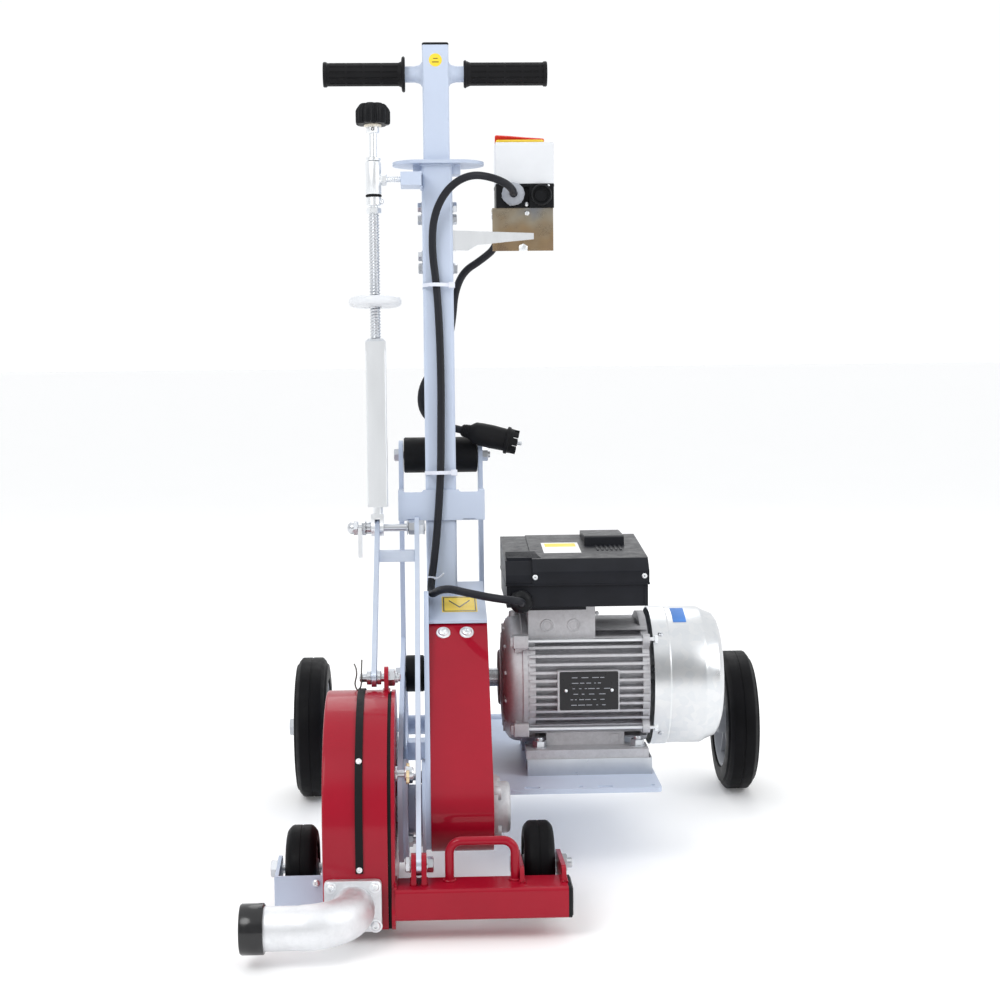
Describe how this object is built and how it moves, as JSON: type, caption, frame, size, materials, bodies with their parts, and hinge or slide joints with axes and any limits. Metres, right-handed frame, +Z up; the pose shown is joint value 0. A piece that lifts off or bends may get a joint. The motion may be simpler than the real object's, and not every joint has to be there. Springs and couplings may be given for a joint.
{
  "type": "concrete grinder",
  "caption": "Walk-behind electric concrete grinder with a leaning square mast, red drum guard, belt drive, depth spindle and suction elbow.",
  "frame": {"origin": "on the floor, at the middle of the machine's width and depth, without its mains lead", "axes": "+Z up, +Y to the rear where the operator stands, -Y to the front, +X to the motor's side, along the wheel axles and the drum shaft"},
  "size_m": [0.683, 0.84, 1.0446],
  "materials": {
    "frame_grey": "satin light blue-grey paint",
    "red_paint": "gloss crimson powder coat",
    "zinc_plate": "bright zinc plate",
    "yellow_zinc": "yellow passivated zinc",
    "cast_aluminium": "as-cast, slightly rough",
    "machined_steel": "machined steel",
    "cast_iron": "as-cast",
    "black_plastic": "moulded, satin",
    "black_rubber": "moulded rubber",
    "tyre": "black tread",
    "white_plastic": "moulded",
    "grey_plastic": "moulded",
    "red_plastic": "gloss"
  },
  "bodies": {
    "frame": {"mast_tube": "frame_grey", "yoke_plate": "frame_grey", "left_side_plate": "frame_grey", "centre_plate": "frame_grey", "right_side_plate": "frame_grey", "base_plate": "frame_grey", "rear_axle": "frame_grey", "bearing_housing": "frame_grey", "belt_cover": "red_paint", "belt_top_plate": "frame_grey", "outboard_cap": "cast_aluminium", "t_fitting": "zinc_plate", "motor_casing": "cast_aluminium", "motor_end_shield": "cast_aluminium", "fan_cowl": "zinc_plate", "motor_rails": "zinc_plate", "motor_bolts": "zinc_plate", "terminal_box": "black_plastic", "cable_glands": "grey_plastic", "switch_arm": "zinc_plate", "switch_bracket": "yellow_zinc", "switch_box": "white_plastic", "switch_base": "black_plastic", "cable_ties": "white_plastic", "motor_cable": "black_rubber", "power_cord": "black_rubber", "power_plug": "black_plastic", "frame_bolts": "zinc_plate", "v_belts": "black_rubber"},
    "handle": {"handle_mast": "frame_grey", "handle_cap": "black_plastic", "grips": "black_rubber"},
    "depth_spindle": {"depth_knob": "black_plastic", "spindle_rod": "zinc_plate"},
    "lock_disc": {"lock_disc": "white_plastic"},
    "carriage": {"spindle_tube": "zinc_plate", "link_bar": "zinc_plate", "push_bar": "zinc_plate", "carriage_bolts": "zinc_plate", "guard_cover": "red_paint", "guard_plate": "red_paint", "guard_strip": "black_rubber", "crossbar": "red_paint", "crossbar_cap": "black_plastic", "wheel_fork": "frame_grey", "suction_elbow": "cast_aluminium", "elbow_cuff": "black_rubber"},
    "left_rear_wheel": {"left_rear_wheel": "tyre"},
    "right_rear_wheel": {"right_rear_wheel": "tyre"},
    "left_front_wheel": {"left_front_wheel": "tyre"},
    "right_front_wheel": {"right_front_wheel": "tyre"},
    "drum": {"grinding_drum": "machined_steel", "drum_shaft": "machined_steel", "driven_pulley": "cast_iron"},
    "motor_rotor": {"motor_rotor": "machined_steel", "drive_pulley": "cast_iron"},
    "stop_button": {"stop_button": "red_plastic"},
    "upper_roller": {"upper_roller": "black_rubber"},
    "lower_roller": {"lower_roller": "black_rubber"},
    "wing_screw": {"wing_screw": "zinc_plate"}
  },
  "joints": [
    {"name": "handle_height", "type": "slide", "parent": "frame", "child": "handle", "axis": [0, 0.0715, 0.9974], "range_m": [-0.06, 0.05]},
    {"name": "carriage_height", "type": "slide", "parent": "frame", "child": "carriage", "axis": [0, 0.0715, 0.9974], "range_m": [-0.018, 0.01]},
    {"name": "spindle_turn", "type": "hinge", "parent": "frame", "child": "depth_spindle", "pos_m": [-0.2015, 0.10213, 0.86179], "axis": [0, 0.0715, 0.9974], "range_deg": [-902, 1622]},
    {"name": "lock_disc_turn", "type": "hinge", "parent": "depth_spindle", "child": "lock_disc", "pos_m": [-0.2015, 0.09141, 0.71217], "axis": [0, 0.0715, 0.9974], "range_deg": [-360, 360]},
    {"name": "left_rear_wheel_spin", "type": "hinge", "parent": "frame", "child": "left_rear_wheel", "pos_m": [-0.3065, 0.32, 0.1], "axis": [1, 0, 0], "continuous": true},
    {"name": "right_rear_wheel_spin", "type": "hinge", "parent": "frame", "child": "right_rear_wheel", "pos_m": [0.3055, 0.32, 0.1], "axis": [1, 0, 0], "continuous": true},
    {"name": "left_front_wheel_spin", "type": "hinge", "parent": "carriage", "child": "left_front_wheel", "pos_m": [-0.2865, -0.208, 0.05], "axis": [1, 0, 0], "continuous": true},
    {"name": "right_front_wheel_spin", "type": "hinge", "parent": "carriage", "child": "right_front_wheel", "pos_m": [-0.0135, -0.208, 0.05], "axis": [1, 0, 0], "continuous": true},
    {"name": "drum_spin", "type": "hinge", "parent": "frame", "child": "drum", "pos_m": [-0.1695, -0.178, 0.11], "axis": [1, 0, 0], "continuous": true},
    {"name": "motor_spin", "type": "hinge", "parent": "frame", "child": "motor_rotor", "pos_m": [-0.0195, 0.06, 0.219], "axis": [1, 0, 0], "continuous": true},
    {"name": "stop_button_press", "type": "slide", "parent": "frame", "child": "stop_button", "axis": [0, 0.8222, 0.5692], "range_m": [-0.004, 0], "stiffness_N_per_m": 800},
    {"name": "upper_roller_spin", "type": "hinge", "parent": "frame", "child": "upper_roller", "pos_m": [-0.1195, 0.184, 0.502], "axis": [1, 0, 0], "continuous": true},
    {"name": "lower_roller_spin", "type": "hinge", "parent": "frame", "child": "lower_roller", "pos_m": [-0.1565, 0.084, 0.221], "axis": [1, 0, 0], "continuous": true},
    {"name": "wing_screw_turn", "type": "hinge", "parent": "carriage", "child": "wing_screw", "pos_m": [-0.1695, -0.258, 0.172], "axis": [1, 0, 0], "range_deg": [-360, 360]}
  ],
  "couplings": [
    {"joint": "spindle_turn", "follows": "carriage_height", "rad_per_m": -1570.8},
    {"joint": "motor_spin", "follows": "drum_spin", "ratio": 0.8}
  ]
}
